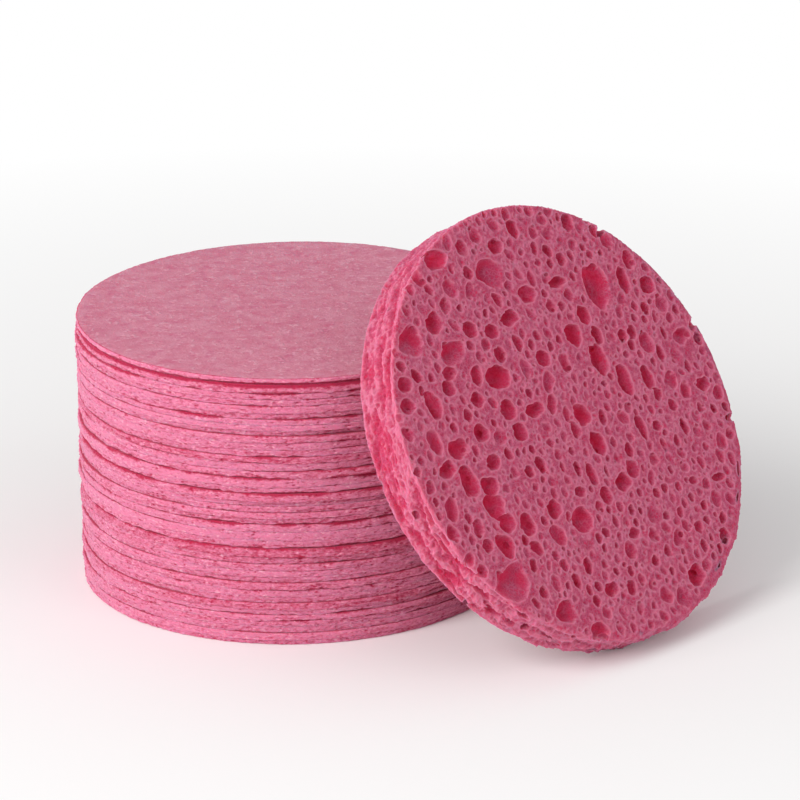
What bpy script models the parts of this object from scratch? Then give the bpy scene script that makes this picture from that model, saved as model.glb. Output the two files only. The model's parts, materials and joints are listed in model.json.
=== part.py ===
"""A pile of pressed facial sponge discs, with one expanded sponge leaning on it.

The origin is the centre of the pile's underside, +Z is up, and lengths are in metres.
"""

import math

import bmesh
import bpy
from mathutils import Matrix, Vector

MM = 0.001

# Pressed discs, the loose layers of the pile
disc_radius = 35.0 * MM
disc_thickness = 0.99 * MM
disc_gap = 0.15 * MM
disc_scatter = 0.3 * MM
disc_sides = 40
# Each disc's own thickness as a share of the usual one, from the table up
disc_thickness_shares = (
    0.85, 0.95, 0.95, 0.85, 0.80, 0.80, 0.95, 0.95, 0.95, 1.10,
    0.85, 0.85, 0.95, 1.10, 1.30, 1.25, 1.25, 1.10, 0.95, 0.85,
    0.85, 0.75, 1.10, 0.95, 1.30, 1.10, 1.20, 0.95, 0.95, 1.10,
    0.95, 0.75, 0.75, 0.80, 0.95, 1.00, 0.90, 0.95, 1.25, 1.00,
)
# How far each disc sits off the pile's centre turns by this much from one disc to the next
scatter_turn = math.radians(137.5)

# Expanded sponge, leaning on the pile's top rim
sponge_radius = 35.5 * MM
sponge_thickness = 8.3 * MM
sponge_sides = 64
sponge_facing = math.radians(46.3)
sponge_lean = math.radians(30.9)
sponge_sideways = 10.4 * MM
sponge_to_rim = 0.3 * MM
sponge_to_table = 0.05 * MM

# Pores that open on the sponge's faces. Across and up are shares of the sponge's radius from its
# centre, wide and tall are shares of it too, as seen square to the face.
face_pore_shares = (
    (0.13, 0.86, 0.07, 0.09), (-0.01, 0.83, 0.09, 0.07), (-0.12, 0.72, 0.16, 0.12),
    (-0.36, 0.84, 0.12, 0.09), (0.49, 0.52, 0.18, 0.16), (0.66, 0.50, 0.08, 0.12),
    (0.79, 0.42, 0.10, 0.08), (0.06, 0.58, 0.11, 0.09), (-0.10, 0.51, 0.11, 0.09),
    (0.34, 0.41, 0.09, 0.09), (0.23, 0.32, 0.10, 0.11), (-0.54, 0.60, 0.11, 0.09),
    (-0.71, 0.54, 0.14, 0.12), (-0.49, 0.45, 0.15, 0.10), (0.00, 0.29, 0.09, 0.09),
    (0.32, 0.19, 0.10, 0.12), (-0.30, 0.28, 0.14, 0.11), (0.44, 0.06, 0.11, 0.14),
    (-0.59, 0.32, 0.10, 0.09), (-0.46, 0.20, 0.09, 0.08), (-0.32, 0.13, 0.10, 0.09),
    (-0.16, 0.08, 0.11, 0.08), (-0.73, 0.23, 0.09, 0.12), (-0.85, 0.32, 0.09, 0.08),
    (-0.53, 0.06, 0.10, 0.09), (-0.31, -0.01, 0.09, 0.08), (0.11, -0.14, 0.09, 0.11),
    (-0.68, 0.05, 0.12, 0.09), (-0.82, -0.01, 0.10, 0.08), (-0.72, -0.11, 0.10, 0.13),
    (-0.53, -0.07, 0.09, 0.08), (-0.60, -0.22, 0.13, 0.11), (-0.47, -0.35, 0.10, 0.10),
    (-0.31, -0.33, 0.09, 0.09), (-0.16, -0.44, 0.13, 0.11), (0.04, -0.38, 0.08, 0.09),
    (0.18, -0.34, 0.10, 0.09), (-0.69, -0.56, 0.20, 0.14), (-0.46, -0.76, 0.14, 0.12),
    (-0.16, -0.77, 0.09, 0.08), (0.36, -0.80, 0.11, 0.10), (0.15, -0.66, 0.09, 0.08),
)
# A pore's depth below the face, as a share of its mean width
pore_depth_share = 0.45
# The far face carries the same spread of pores, turned by this much
back_pore_turn = math.radians(160.0)
# Rim pores: long shallow pockets in rows round the edge, with sizes as shares of the thickness
rim_pore_count = 22
rim_pore_long_share = 0.55
rim_pore_tall_share = 0.14
rim_pore_deep_share = 0.10
rim_row_shares = (0.30, 0.70, 0.50)

# Surface colours, as red, green and blue in linear light
disc_colour = (0.80, 0.25, 0.34)
disc_shade_shares = (1.00, 0.94, 1.05, 0.90, 1.02)
sponge_colour = (0.74, 0.16, 0.26)
matt_roughness = 0.9

pile_height = disc_thickness * sum(disc_thickness_shares) + disc_gap * (len(disc_thickness_shares) - 1)
outward = Vector((math.sin(sponge_facing), -math.cos(sponge_facing), 0.0))
sideways = Vector((math.cos(sponge_facing), math.sin(sponge_facing), 0.0))


def clear_scene():
    """Remove every object that the file opened with."""
    for item in list(bpy.data.objects):
        bpy.data.objects.remove(item, do_unlink=True)


def matt_material(name, colour):
    """A dry, dull surface of one colour."""
    material = bpy.data.materials.new(name)
    material.use_nodes = True
    shader = material.node_tree.nodes["Principled BSDF"]
    shader.inputs["Base Color"].default_value = (*colour, 1.0)
    shader.inputs["Roughness"].default_value = matt_roughness
    shader.inputs["Metallic"].default_value = 0.0
    return material


def mesh_object(name, shape, material):
    """Turn a bmesh into a named object that is smooth round its sides and sharp at its corners."""
    mesh = bpy.data.meshes.new(name)
    shape.to_mesh(mesh)
    shape.free()
    mesh.shade_smooth()
    mesh.set_sharp_from_angle(angle=math.radians(30.0))
    item = bpy.data.objects.new(name, mesh)
    if material:
        mesh.materials.append(material)
    bpy.context.scene.collection.objects.link(item)
    return item


def round_slab(radius, thickness, sides):
    """A flat round slab that stands on z = 0."""
    shape = bmesh.new()
    bmesh.ops.create_cone(
        shape,
        cap_ends=True,
        segments=sides,
        radius1=radius,
        radius2=radius,
        depth=thickness,
        matrix=Matrix.Translation((0.0, 0.0, thickness / 2)),
    )
    return shape


def pressed_disc(number, base_height, thickness):
    """One loose disc of the pile, a little off centre except for the top one."""
    shade = disc_shade_shares[number % len(disc_shade_shares)]
    name = f"compressed_disc_{number:02d}"
    colour = [min(1.0, channel * shade) for channel in disc_colour]
    disc = mesh_object(
        name,
        round_slab(disc_radius, thickness, disc_sides),
        matt_material(name, colour),
    )
    is_end = number in (1, len(disc_thickness_shares))
    reach = 0.0 if is_end else disc_scatter * (0.4 + 0.6 * (number % 3) / 2)
    turn = scatter_turn * number
    disc.location = (reach * math.cos(turn), reach * math.sin(turn), base_height)
    return disc


def disc_pile():
    """Every pressed disc, each lying one gap above the one below."""
    height = 0.0
    for index, share in enumerate(disc_thickness_shares):
        thickness = disc_thickness * share
        pressed_disc(index + 1, height, thickness)
        height += thickness + disc_gap


def add_pocket(shape, place, turn, size):
    """Add one egg-shaped cutter, at a place, turned, with its full size along each axis."""
    matrix = Matrix.Translation(place) @ turn @ Matrix.Diagonal((*size, 1.0))
    bmesh.ops.create_icosphere(shape, subdivisions=1, radius=0.5, matrix=matrix)


def face_pores(height, turn):
    """Cutters for the pores of one face, which lies at this height on the sponge."""
    shape = bmesh.new()
    for across, up, wide, tall in face_pore_shares:
        deep = (wide + tall) * pore_depth_share
        place = Matrix.Rotation(turn, 4, "Z") @ Vector((across * sponge_radius, up * sponge_radius, height))
        size = [share * sponge_radius for share in (wide, tall, deep)]
        add_pocket(shape, place, Matrix.Rotation(turn, 4, "Z"), size)
    return shape


def rim_pores():
    """Cutters for the flattened pores round the sponge's edge."""
    shape = bmesh.new()
    size = [
        sponge_thickness * share
        for share in (2 * rim_pore_deep_share, rim_pore_long_share, rim_pore_tall_share)
    ]
    for index in range(rim_pore_count):
        turn = Matrix.Rotation(math.tau * index / rim_pore_count, 4, "Z")
        height = sponge_thickness * rim_row_shares[index % len(rim_row_shares)]
        add_pocket(shape, turn @ Vector((sponge_radius, 0.0, height)), turn, size)
    return shape


def cut(body, name, shape):
    """Take a cutter's shape out of a body and keep the cutter hidden as a child of the body."""
    cutter = mesh_object(name, shape, None)
    cutter.parent = body
    cutter.display_type = "WIRE"
    cutter.hide_render = True
    boolean = body.modifiers.new(name, "BOOLEAN")
    boolean.operation = "DIFFERENCE"
    boolean.object = cutter


def leaning_frame():
    """Where the sponge's far face is centred, turned so that its own +Z points out of its near face."""
    drop = sponge_radius * math.cos(sponge_lean)
    base_height = drop + sponge_to_table
    along = (
        disc_radius
        + (pile_height - base_height) * math.tan(sponge_lean)
        + sponge_to_rim / math.cos(sponge_lean)
    )
    centre = outward * along + sideways * sponge_sideways + Vector((0.0, 0.0, base_height))
    normal = outward * math.cos(sponge_lean) + Vector((0.0, 0.0, math.sin(sponge_lean)))
    up = normal.cross(sideways)
    axes = Matrix((sideways, up, normal)).transposed().to_4x4()
    return Matrix.Translation(centre) @ axes


def expanded_sponge():
    """The wetted, swollen sponge with open pores on its faces and rim."""
    sponge = mesh_object(
        "expanded_sponge",
        round_slab(sponge_radius, sponge_thickness, sponge_sides),
        matt_material("expanded_sponge", sponge_colour),
    )
    sponge.matrix_world = leaning_frame()
    cut(sponge, "near_face_pores", face_pores(sponge_thickness, 0.0))
    cut(sponge, "far_face_pores", face_pores(0.0, back_pore_turn))
    cut(sponge, "rim_pores", rim_pores())


def main():
    clear_scene()
    disc_pile()
    expanded_sponge()


main()
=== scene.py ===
"""Looks of a pile of pressed facial sponge discs with one expanded sponge leaning on it.

Lengths in the settings are metres. The expanded sponge is shaped in its own frame, in
millimetres, lying flat, and is then set leaning in its place.
"""

import json
import math
import random

import bmesh
import bpy
import numpy as np
from mathutils import Matrix, Vector, kdtree, noise


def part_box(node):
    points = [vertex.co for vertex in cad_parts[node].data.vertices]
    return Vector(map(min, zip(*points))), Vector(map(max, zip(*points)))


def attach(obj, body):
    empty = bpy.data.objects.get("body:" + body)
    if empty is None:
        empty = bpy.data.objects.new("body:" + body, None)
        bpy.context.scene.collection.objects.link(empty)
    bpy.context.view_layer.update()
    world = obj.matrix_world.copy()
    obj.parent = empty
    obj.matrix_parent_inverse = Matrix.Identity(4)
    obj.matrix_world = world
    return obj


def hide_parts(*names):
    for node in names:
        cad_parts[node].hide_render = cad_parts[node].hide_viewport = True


bl_info = {
    "name": "Facial sponge pile",
    "version": (1, 0, 0),
    "blender": (4, 5, 0),
    "location": "View3D > Sidebar > Sponges",
    "description": "Pressed facial sponge discs and an expanded sponge on a plain stage",
    "category": "Object",
}

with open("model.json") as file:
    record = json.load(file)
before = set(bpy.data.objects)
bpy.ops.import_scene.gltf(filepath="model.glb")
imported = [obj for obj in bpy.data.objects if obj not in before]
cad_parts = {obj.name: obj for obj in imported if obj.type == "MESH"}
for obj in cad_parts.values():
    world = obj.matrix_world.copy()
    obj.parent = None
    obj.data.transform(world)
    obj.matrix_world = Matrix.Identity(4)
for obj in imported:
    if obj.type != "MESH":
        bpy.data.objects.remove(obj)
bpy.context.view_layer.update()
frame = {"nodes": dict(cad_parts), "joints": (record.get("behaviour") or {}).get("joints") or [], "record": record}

MM = 0.001
SPONGE_NODE = "expanded_sponge"
SPONGE_JOINT = "expanded_sponge_lift"
DISC_PREFIX = "compressed_disc_"
disc_nodes = sorted(name for name in frame["nodes"] if name.startswith(DISC_PREFIX))
body_of_node = {
    node: body for body, nodes in frame["record"]["behaviour"]["bodies"].items() for node in nodes
}

# How pale or deep each disc's edge looks beside the others, from the table up
DISC_TONE_SHARES = (
    0.46, 0.56, 0.52, 0.46, 0.54, 0.66, 0.30, 0.46, 0.58, 0.44,
    0.50, 0.56, 0.48, 0.38, 0.28, 0.50, 0.68, 0.60, 0.40, 0.50,
    0.46, 0.54, 0.44, 0.52, 0.66, 0.50, 0.62, 0.26, 0.46, 0.56,
    0.50, 0.58, 0.72, 0.66, 0.48, 0.56, 0.50, 0.54, 0.46, 0.62,
)
# How open the line above each disc but the top one looks, from the table up
LINE_SHARES = (
    0.15, 0.10, 0.20, 0.55, 0.45, 0.50, 0.30, 0.20, 0.50, 0.45,
    0.20, 0.35, 0.35, 0.40, 0.70, 0.20, 0.40, 0.75, 0.40, 0.40,
    0.15, 0.30, 0.80, 0.30, 0.90, 0.50, 0.60, 0.50, 0.40, 0.40,
    0.40, 0.25, 0.25, 0.75, 0.25, 0.45, 0.55, 0.75, 1.50,
)
# Half of a disc's outline from the middle of its underside round to the middle of its top, as a
# share of the radius and an inset from it in millimetres, the height as a share of the thickness,
# and how much of the lines below and above the disc it follows, or -1 where it is a flat face
DISC_OUTLINE = (
    (0.0, 0.0, 0.0, -1.0, 0.0),
    (0.6, 0.0, 0.0, -1.0, 0.0),
    (1.0, 1.3, 0.0, -1.0, 0.0),
    (1.0, 0.36, 0.0, -1.0, 0.0),
    (1.0, 0.14, 0.0, 1.0, 0.0),
    (1.0, 0.02, 0.16, 0.6, 0.0),
    (1.0, 0.0, 0.38, 0.2, 0.0),
    (1.0, 0.0, 0.60, 0.0, 0.2),
    (1.0, 0.02, 0.84, 0.0, 0.6),
    (1.0, 0.14, 1.0, 0.0, 1.0),
    (1.0, 0.36, 1.0, 0.0, -1.0),
    (1.0, 1.3, 1.0, 0.0, -1.0),
    (0.6, 0.0, 1.0, 0.0, -1.0),
    (0.0, 0.0, 1.0, 0.0, -1.0),
)
# How pale each of these rings is coloured: the torn fibres outside palest, and painted shade deep in a line, which
# the faces' outer margins hidden between the discs take too
RING_RELIEF_AND_SHADE_SHARES = (
    0.3, 0.3, 0.3, -0.3, 0.56, 0.66, 0.69, 0.70, 0.69, 0.60, -0.3, 0.3, 0.3, 0.3,
)
FIRST_EDGE_RING = 3
LAST_EDGE_RING = 10
# Rings with sharp edges, where a disc's rim turns into its faces
CORNER_RINGS = (4, 9)
# How far the top disc's upper rim stands out at two of its rings
TOP_RIM_STEPS = {9: 0.08 * MM, 10: 0.2 * MM}
# How far a disc's faces stand out towards its neighbours, a little under half the gap to them
DISC_SWELL = 0.073 * MM
# Strength, half height and drift of the line under the lowest disc and of the one over the top
END_LINE = (0.3, 0.05 * MM, 0.0)
# How open the lines are on the whole, and how much less so on one side of the pile
LINE_OPENING = 0.80
CLOSED_TOWARDS = Vector((-0.82, -0.57, 0.0))
CLOSED_SHARE = 0.3
# A line's half height is its width times its gained strength less a loss, and never under the
# least one, at which the two edges all but meet
LINE_GAIN = 1.5
LINE_LOSS = 0.70
LEAST_HALF = -0.9 * DISC_SWELL
# Noise round the pile as rate, share of the seed and size: how open a line is, how far it drifts
# up or down in millimetres, and how far a disc's edge wanders
LINE_WAVES = ((4.5, 1.0, 0.8), (19.0, -1.0, 0.5))
TOP_LINE_WAVE_SHARE = 0.3
DRIFT_WAVES = ((7.0, -1.0, 0.13), (23.0, 1.0, 0.07))
WANDER_WAVES = ((2.2, 1.0, 1.0), (7.0, -1.0, 0.45))
END_WANDER = 0.12 * MM
# Strands, layers and tufts of a torn edge, as length and height in millimetres, share of the seed
# and size
TORN_WAVES = ((1.5, 0.34, 1.0, 0.8), (6.0, 0.26, -1.0, 0.6), (0.7, 0.4, 2.0, 0.9))
# Small holes in a torn edge: how far apart across and up in millimetres, how wide as a share of
# that, and how deep
PIT_ACROSS = 1.9
PIT_UP = 1.0
PIT_WIDTH_SHARE = 0.22
PIT_DEPTH = 0.4 * MM
# Groove strength at which a line is half open and the span over which it shuts, and how far an
# edge stands out beside a shut line or draws back beside an open one, in millimetres
HALF_OPEN = 0.5
SHUT_SPAN = 0.3
SHUT_BULGE = 0.12
OPEN_DRAW = 0.30
# What fibres, small holes, grooves and shut lines add to or take from how pale an edge is coloured: torn fibres
# paler where they stand out and darker where they sink, partly painted shade, painted shade in small holes and
# open lines, and a painted lift of light along shut lines to offset their shading
TORN_RELIEF = 0.36
PIT_SHADE = 0.8
GROOVE_SHADE = 1.1
SHUT_LIGHT = 0.3

# Larger pores of the near face: across, up, wide and tall as hundredths of the sponge's radius,
# from its centre, and the depth as hundredths of the mean width where it isn't the usual one
USUAL_PORE_DEPTH = 60
FACE_PORES = (
    (13, 88, 7, 9), (-1, 83, 9, 7), (-11, 73, 17, 12, 25), (-38, 86, 14, 9, 50), (34, 68, 6, 6),
    (49, 52, 15, 19, 38), (66, 50, 7, 12), (79, 44, 9, 8), (27, 59, 11, 5), (6, 58, 11, 8, 50),
    (-10, 51, 11, 7), (34, 41, 8, 9), (23, 34, 10, 11), (-54, 60, 11, 9, 50),
    (-71, 56, 15, 13, 27), (-50, 45, 16, 10, 27), (-35, 52, 8, 8), (-23, 48, 8, 7), (0, 29, 8, 8),
    (32, 20, 9, 14), (-30, 28, 14, 11), (42, 7, 9, 14, 50), (56, 5, 7, 11), (-57, 37, 9, 6, 50),
    (-61, 31, 8, 7), (-47, 22, 8, 7), (-32, 13, 10, 8), (-17, 9, 11, 6), (-73, 26, 9, 13, 50),
    (-87, 30, 9, 7, 50), (-84, 39, 9, 7, 50), (-82, 47, 6, 5, 50), (-53, 8, 9, 8), (-31, 2, 9, 8),
    (-67, 14, 5, 5), (11, -15, 9, 11), (20, -5, 5, 7), (-69, 5, 12, 8, 50), (-80, -2, 11, 7, 50),
    (-71, -10, 10, 14, 50), (-53, -6, 9, 7), (-61, -15, 11, 8), (-63, -24, 13, 11, 50),
    (-59, -33, 9, 8), (-48, -37, 9, 9), (-30, -35, 9, 8), (-16, -44, 13, 10, 50), (3, -38, 7, 8),
    (16, -35, 10, 8), (-11, -32, 7, 5), (-70, -58, 23, 15, 20), (-47, -79, 13, 10, 38),
    (-55, -67, 6, 6), (-34, -68, 5, 8), (-33, -92, 11, 8, 50), (-16, -77, 8, 6), (36, -86, 11, 9),
    (16, -73, 6, 5), (-75, -39, 7, 6), (55, 21, 5, 6), (70, 13, 5, 8), (90, 29, 5, 5),
    (63, 32, 4, 4), (69, 30, 4, 4), (77, 21, 4, 6), (87, 17, 12, 8, 30), (83, 3, 4, 6),
    (88, -7, 8, 6), (59, 81, 5, 3), (47, 83, 7, 8), (59, 65, 4, 3), (50, 70, 4, 4),
    (66, 69, 8, 8, 30), (30, 52, 6, 6, 50), (23, 48, 5, 4), (46, 21, 3, 3), (66, 37, 4, 5),
    (29, 9, 4, 3), (50, -4, 4, 4), (45, -7, 3, 3), (1, -6, 6, 7), (20, -17, 4, 5),
    (40, -15, 6, 11), (50, -17, 6, 5), (49, -26, 4, 8, 30), (66, -22, 5, 8), (58, -27, 4, 6),
    (-6, -14, 4, 4), (-7, -22, 5, 7), (0, -27, 6, 9), (-15, -19, 3, 5), (9, -28, 3, 6),
    (23, -42, 4, 4), (29, -38, 3, 3), (33, -45, 5, 5), (41, -50, 4, 7, 30), (58, -46, 6, 4),
    (52, -53, 4, 4), (47, -38, 4, 4), (14, -48, 4, 5), (33, -56, 5, 4), (2, -50, 4, 6),
    (10, -58, 7, 5), (21, -62, 7, 7, 30), (56, -65, 5, 4), (74, -49, 8, 4), (23, -80, 4, 4),
    (48, -75, 5, 6), (-3, -60, 3, 3),
)
# How much taller and shallower these pores are cut than the list gives
PORE_TALLER = 1.12
PORE_SHALLOWER = 0.95
# A pore wider or taller than this many hundredths of the radius is more finely formed
FINE_PORE_FROM = 7
# Chips out of the near face's edge and out of the rim: degrees round, height as a share of the
# thickness, and half sizes in millimetres inward, along and through
RIM_CHIPS = (
    (49.0, 0.95, 1.5, 0.9, 1.8), (12.0, 0.96, 1.7, 0.8, 1.5), (-15.0, 0.94, 1.6, 0.7, 1.4),
    (-129.0, 0.55, 1.5, 0.8, 1.4), (-139.0, 0.35, 1.7, 1.8, 1.2), (-146.0, 0.62, 1.4, 2.4, 0.9),
    (-153.0, 0.25, 1.7, 1.9, 1.2), (168.0, 0.60, 0.9, 2.2, 0.8), (150.0, 0.30, 1.0, 1.8, 1.0),
    (-170.0, 0.85, 1.0, 1.8, 0.7), (140.0, 0.80, 0.8, 1.2, 0.7), (-118.0, 0.30, 1.2, 1.5, 0.9),
    (-108.0, 0.90, 0.9, 0.8, 1.2), (-160.0, 0.70, 1.1, 2.6, 0.6), (-134.0, 0.85, 1.1, 1.3, 0.7),
    (178.0, 0.35, 0.8, 2.0, 0.7),
)

# The same seed every time, so that every run gives the same sponge
SEED = 31
# Lengths of the sponge, here and below, are millimetres. Size of the faces that the slab is made
# of, how far it is oversize before its rim is torn, and the rounding of its corners
VOXEL = 0.29
RIM_SPARE = 0.45
CORNER_ROUNDING = 0.8
# Foam cells in the faces, as a share of the cell size and a depth, and how wavy the faces are
FACE_CELLS = ((1.0, 0.28), (0.55, 0.11))
FACE_WAVE = 0.10
# Torn pockets of the rim: cell sizes across and up, and depths
POCKET_CELLS = (2.1, 0.95)
POCKET_DEPTH = 0.60
FINE_POCKET_DEPTH = 0.28
# Steps between the rim's torn layers, as their reach across and up, their number and their height
LAYER_REACH = (4.2, 1.4)
LAYER_COUNT = 3.2
LAYER_STEP = 0.28
# How torn the rim is on the whole, how much that changes round it, and where it is most torn
TORN_SHARE = 0.72
TORN_CHANGE = 0.52
TORN_TOWARDS = math.radians(-150.0)
# Which ways the slab is wider and by how much
WIDE_TOWARDS = math.radians(-42.0)
RIM_LEAN = 0.55
LOW_TOWARDS = math.radians(-60.0)
LOW_SPARE = 0.8
# How many irregular forms the pores share, and how far a face's hollows lean across and up as
# they go in, as shares of their depth
PORE_FORMS = 16
FACE_SLANT = (0.42, -0.36)
# How far a pore's middle lies over its face, as a share of its half depth: least and most, and
# its value for a flat pore and fall for a deep one
MIDDLE_RANGE = (-0.12, 0.45)
MIDDLE_START = 0.85
MIDDLE_FALL = 0.7
# Scattered pores, large to small: how many, least and most width, the gap kept between them and
# how finely they are formed. The far face has no listed pores, so it gets more of the largest.
NEAR_LARGEST = (60, 2.2, 3.6, 0.10, 3)
FAR_LARGEST = (90, 2.2, 3.6, 0.10, 3)
SMALLER_PORES = ((420, 1.45, 2.4, 0.02, 3), (620, 0.95, 1.4, 0.03, 2), (1000, 0.6, 0.9, 0.04, 2))
TRIES_EACH = 12
DEPTH_CHOICES = (0.45, 0.55, 0.65, 0.8, 1.2)
# A pore at least this open has a smaller hollow in its wall, this far out from its middle
INNER_PORE_FROM = 1.1
INNER_PORE_REACH = 0.72
RIM_POCKETS = 240
# A sponge with fewer faces than this after the cuts has lost its surface
LEAST_FACES = 1000
# An edge at least this sharp and no deeper than this is a pore's lip, and a lip is this wide
SHARP_ANGLE = math.radians(50.0)
LIP_DEPTH = 0.5
LIP_WIDTH = 0.27

# Camera, as found from the outlines of the pile and the sponge
CAMERA_TARGET = Vector((17.26, 0.0, 28.42)) * MM
CAMERA_DISTANCE = 815.5 * MM
CAMERA_PITCH = math.radians(19.61)
CAMERA_ROLL = math.radians(-0.80)
CAMERA_LENS = 225.0
CAMERA_SENSOR = 36.0


def disc_box(number):
    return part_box(f"{DISC_PREFIX}{number:02d}")


class SpongeSettings(bpy.types.PropertyGroup):
    """Sizes and colours that a user of this scene may change."""

    disc_steps: bpy.props.IntProperty(
        name="Disc steps",
        description="Steps round the edge of each pressed disc",
        default=600,
        min=48,
    )
    line_width: bpy.props.FloatProperty(
        name="Line width",
        description="Length that the height of the lines between the discs is scaled by",
        default=0.31 * MM,
        unit="LENGTH",
    )
    edge_roughness: bpy.props.FloatProperty(
        name="Edge roughness",
        description="How far the torn fibres of a pressed edge stand in or out",
        default=0.16 * MM,
        unit="LENGTH",
    )
    edge_wander: bpy.props.FloatProperty(
        name="Edge wander",
        description="How far a disc's edge wanders from a true circle",
        default=0.28 * MM,
        unit="LENGTH",
    )
    face_colour: bpy.props.FloatVectorProperty(
        name="Pressed face",
        description="Colour of the flat faces of a pressed disc",
        subtype="COLOR",
        default=(0.61, 0.222, 0.306),
        min=0.0,
        max=1.0,
    )
    face_fibre_colour: bpy.props.FloatVectorProperty(
        name="Pale fibres",
        description="Colour of the pale fibres and specks on the pressed faces",
        subtype="COLOR",
        default=(0.70, 0.33, 0.42),
        min=0.0,
        max=1.0,
    )
    edge_colour: bpy.props.FloatVectorProperty(
        name="Pressed edge",
        description="Colour of the raised fibres on a pressed edge",
        subtype="COLOR",
        default=(0.70, 0.200, 0.330),
        min=0.0,
        max=1.0,
    )
    # Painted shade: the crimson that a pressed edge takes deep in its grooves, pits and the lines between discs,
    # where little light reaches
    groove_shade_colour: bpy.props.FloatVectorProperty(
        name="Edge grooves",
        description="Colour deep between the fibres of a pressed edge",
        subtype="COLOR",
        default=(0.45, 0.026, 0.078),
        min=0.0,
        max=1.0,
    )
    wall_colour: bpy.props.FloatVectorProperty(
        name="Cell walls",
        description="Colour of the thin cell walls at the sponge's surface",
        subtype="COLOR",
        default=(0.560, 0.124, 0.220),
        min=0.0,
        max=1.0,
    )
    # Painted highlight on the thin lips round the pores
    lip_highlight_colour: bpy.props.FloatVectorProperty(
        name="Pore lips",
        description="Colour of the thin lips round the sponge's pores",
        subtype="COLOR",
        default=(0.650, 0.215, 0.322),
        min=0.0,
        max=1.0,
    )
    # Partly the foam's own colour and partly painted shade: the cell floors, small pits and deeper places
    cell_shade_colour: bpy.props.FloatVectorProperty(
        name="Cell floors",
        description="Colour of the shallow cells at the sponge's surface",
        subtype="COLOR",
        default=(0.450, 0.055, 0.125),
        min=0.0,
        max=1.0,
    )
    # Painted shade deep in the pores, in the crimson of light bounced about in the foam
    pore_shade_colour: bpy.props.FloatVectorProperty(
        name="Deep pores",
        description="Colour at the bottom of the sponge's large pores",
        subtype="COLOR",
        default=(0.700, 0.025, 0.090),
        min=0.0,
        max=1.0,
    )
    cell_size: bpy.props.FloatProperty(
        name="Cell size",
        description="Width of the sponge's common small cells",
        default=0.95 * MM,
        unit="LENGTH",
    )
    floor_colour: bpy.props.FloatVectorProperty(
        name="Floor",
        description="Colour of the floor",
        subtype="COLOR",
        default=(0.93, 0.93, 0.93),
        min=0.0,
        max=1.0,
    )


# Materials


def new_group(name, inputs, outputs):
    """An empty shader group that takes a vector and some values and gives values, and its ends."""
    group = bpy.data.node_groups.new(name, "ShaderNodeTree")
    group.interface.new_socket("Vector", in_out="INPUT", socket_type="NodeSocketVector")
    for label, value in inputs.items():
        socket = group.interface.new_socket(label, in_out="INPUT", socket_type="NodeSocketFloat")
        socket.default_value = value
    for label in outputs:
        group.interface.new_socket(label, in_out="OUTPUT", socket_type="NodeSocketFloat")
    entry = group.nodes.new("NodeGroupInput")
    leave = group.nodes.new("NodeGroupOutput")
    return group, entry, leave


def feed(tree, node, terms):
    """Set a node's inputs to values, or link them to other nodes' outputs."""
    for key, term in terms.items():
        socket = node.inputs[key]
        if isinstance(term, bpy.types.NodeSocket):
            tree.links.new(term, socket)
        else:
            socket.default_value = (*term, 1.0) if socket.type == "RGBA" else term


def add_node(tree, kind, terms, **options):
    """A new shader node of a kind, with its options and inputs."""
    node = tree.nodes.new("ShaderNode" + kind)
    for name, option in options.items():
        setattr(node, name, option)
    feed(tree, node, terms)
    return node


def add_noise(tree, vector, scale, detail, roughness):
    terms = {"Vector": vector, "Scale": scale, "Detail": detail, "Roughness": roughness}
    return add_node(tree, "TexNoise", terms).outputs["Fac"]


def add_range(tree, value, low, high):
    """A value stretched so that low gives 0 and high gives 1."""
    terms = {"Value": value, "From Min": low, "From Max": high}
    return add_node(tree, "MapRange", terms).outputs["Result"]


def add_math(tree, operation, first, second):
    return add_node(tree, "Math", {0: first, 1: second}, operation=operation).outputs["Value"]


def add_mix(tree, amount, first, second):
    """Two colours mixed by an amount."""
    return add_node(tree, "Mix", {0: amount, 6: first, 7: second}, data_type="RGBA").outputs[2]


def fibre_group():
    """Cellulose fibre: a broad mottle, a fine grain and pale specks."""
    group, entry, leave = new_group(
        "Cellulose fibre",
        {"Mottle Scale": 350.0, "Grain Scale": 1600.0, "Speck Scale": 900.0},
        ("Mottle", "Grain", "Specks"),
    )
    for label, key, detail, low, high in (
        ("Mottle", "Mottle Scale", 4.0, 0.35, 0.65),
        ("Grain", "Grain Scale", 3.0, 0.30, 0.70),
        ("Specks", "Speck Scale", 2.0, 0.56, 0.72),
    ):
        texture = add_noise(group, entry.outputs["Vector"], entry.outputs[key], detail, 0.6)
        feed(group, leave, {label: add_range(group, texture, low, high)})
    return group


def start_material(name, roughness, sheen, glow, reach):
    """A dry material with a bloom of loose fibres, and how much and how far light spreads in it."""
    material = bpy.data.materials.new(name)
    material.use_nodes = True
    tree = material.node_tree
    shader = tree.nodes["Principled BSDF"]
    feed(tree, shader, {
        "Roughness": roughness,
        "Specular IOR Level": 0.0,
        "Subsurface Weight": glow,
        "Subsurface Radius": (1.0, 0.18, 0.28),
        "Subsurface Scale": reach,
        "Sheen Weight": sheen,
        "Sheen Roughness": 0.5,
        "Sheen Tint": (1.0, 0.66, 0.78),
    })
    return material, tree, shader


def placed_coordinates(tree, scale=(1.0, 1.0, 1.0)):
    """Object coordinates, stretched by a Mapping node."""
    place = add_node(tree, "TexCoord", {}).outputs["Object"]
    return add_node(tree, "Mapping", {"Vector": place, "Scale": scale}).outputs["Vector"]


def add_fibre(tree, group, vector, mottle, grain, specks):
    scales = {"Mottle Scale": mottle, "Grain Scale": grain, "Speck Scale": specks}
    return add_node(tree, "Group", {"Vector": vector, **scales}, node_tree=group)


def add_foam(tree, group, vector, scale):
    return add_node(tree, "Group", {"Vector": vector, "Scale": scale}, node_tree=group)


def add_attribute(tree, name):
    return add_node(tree, "Attribute", {}, attribute_name=name).outputs["Fac"]


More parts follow.
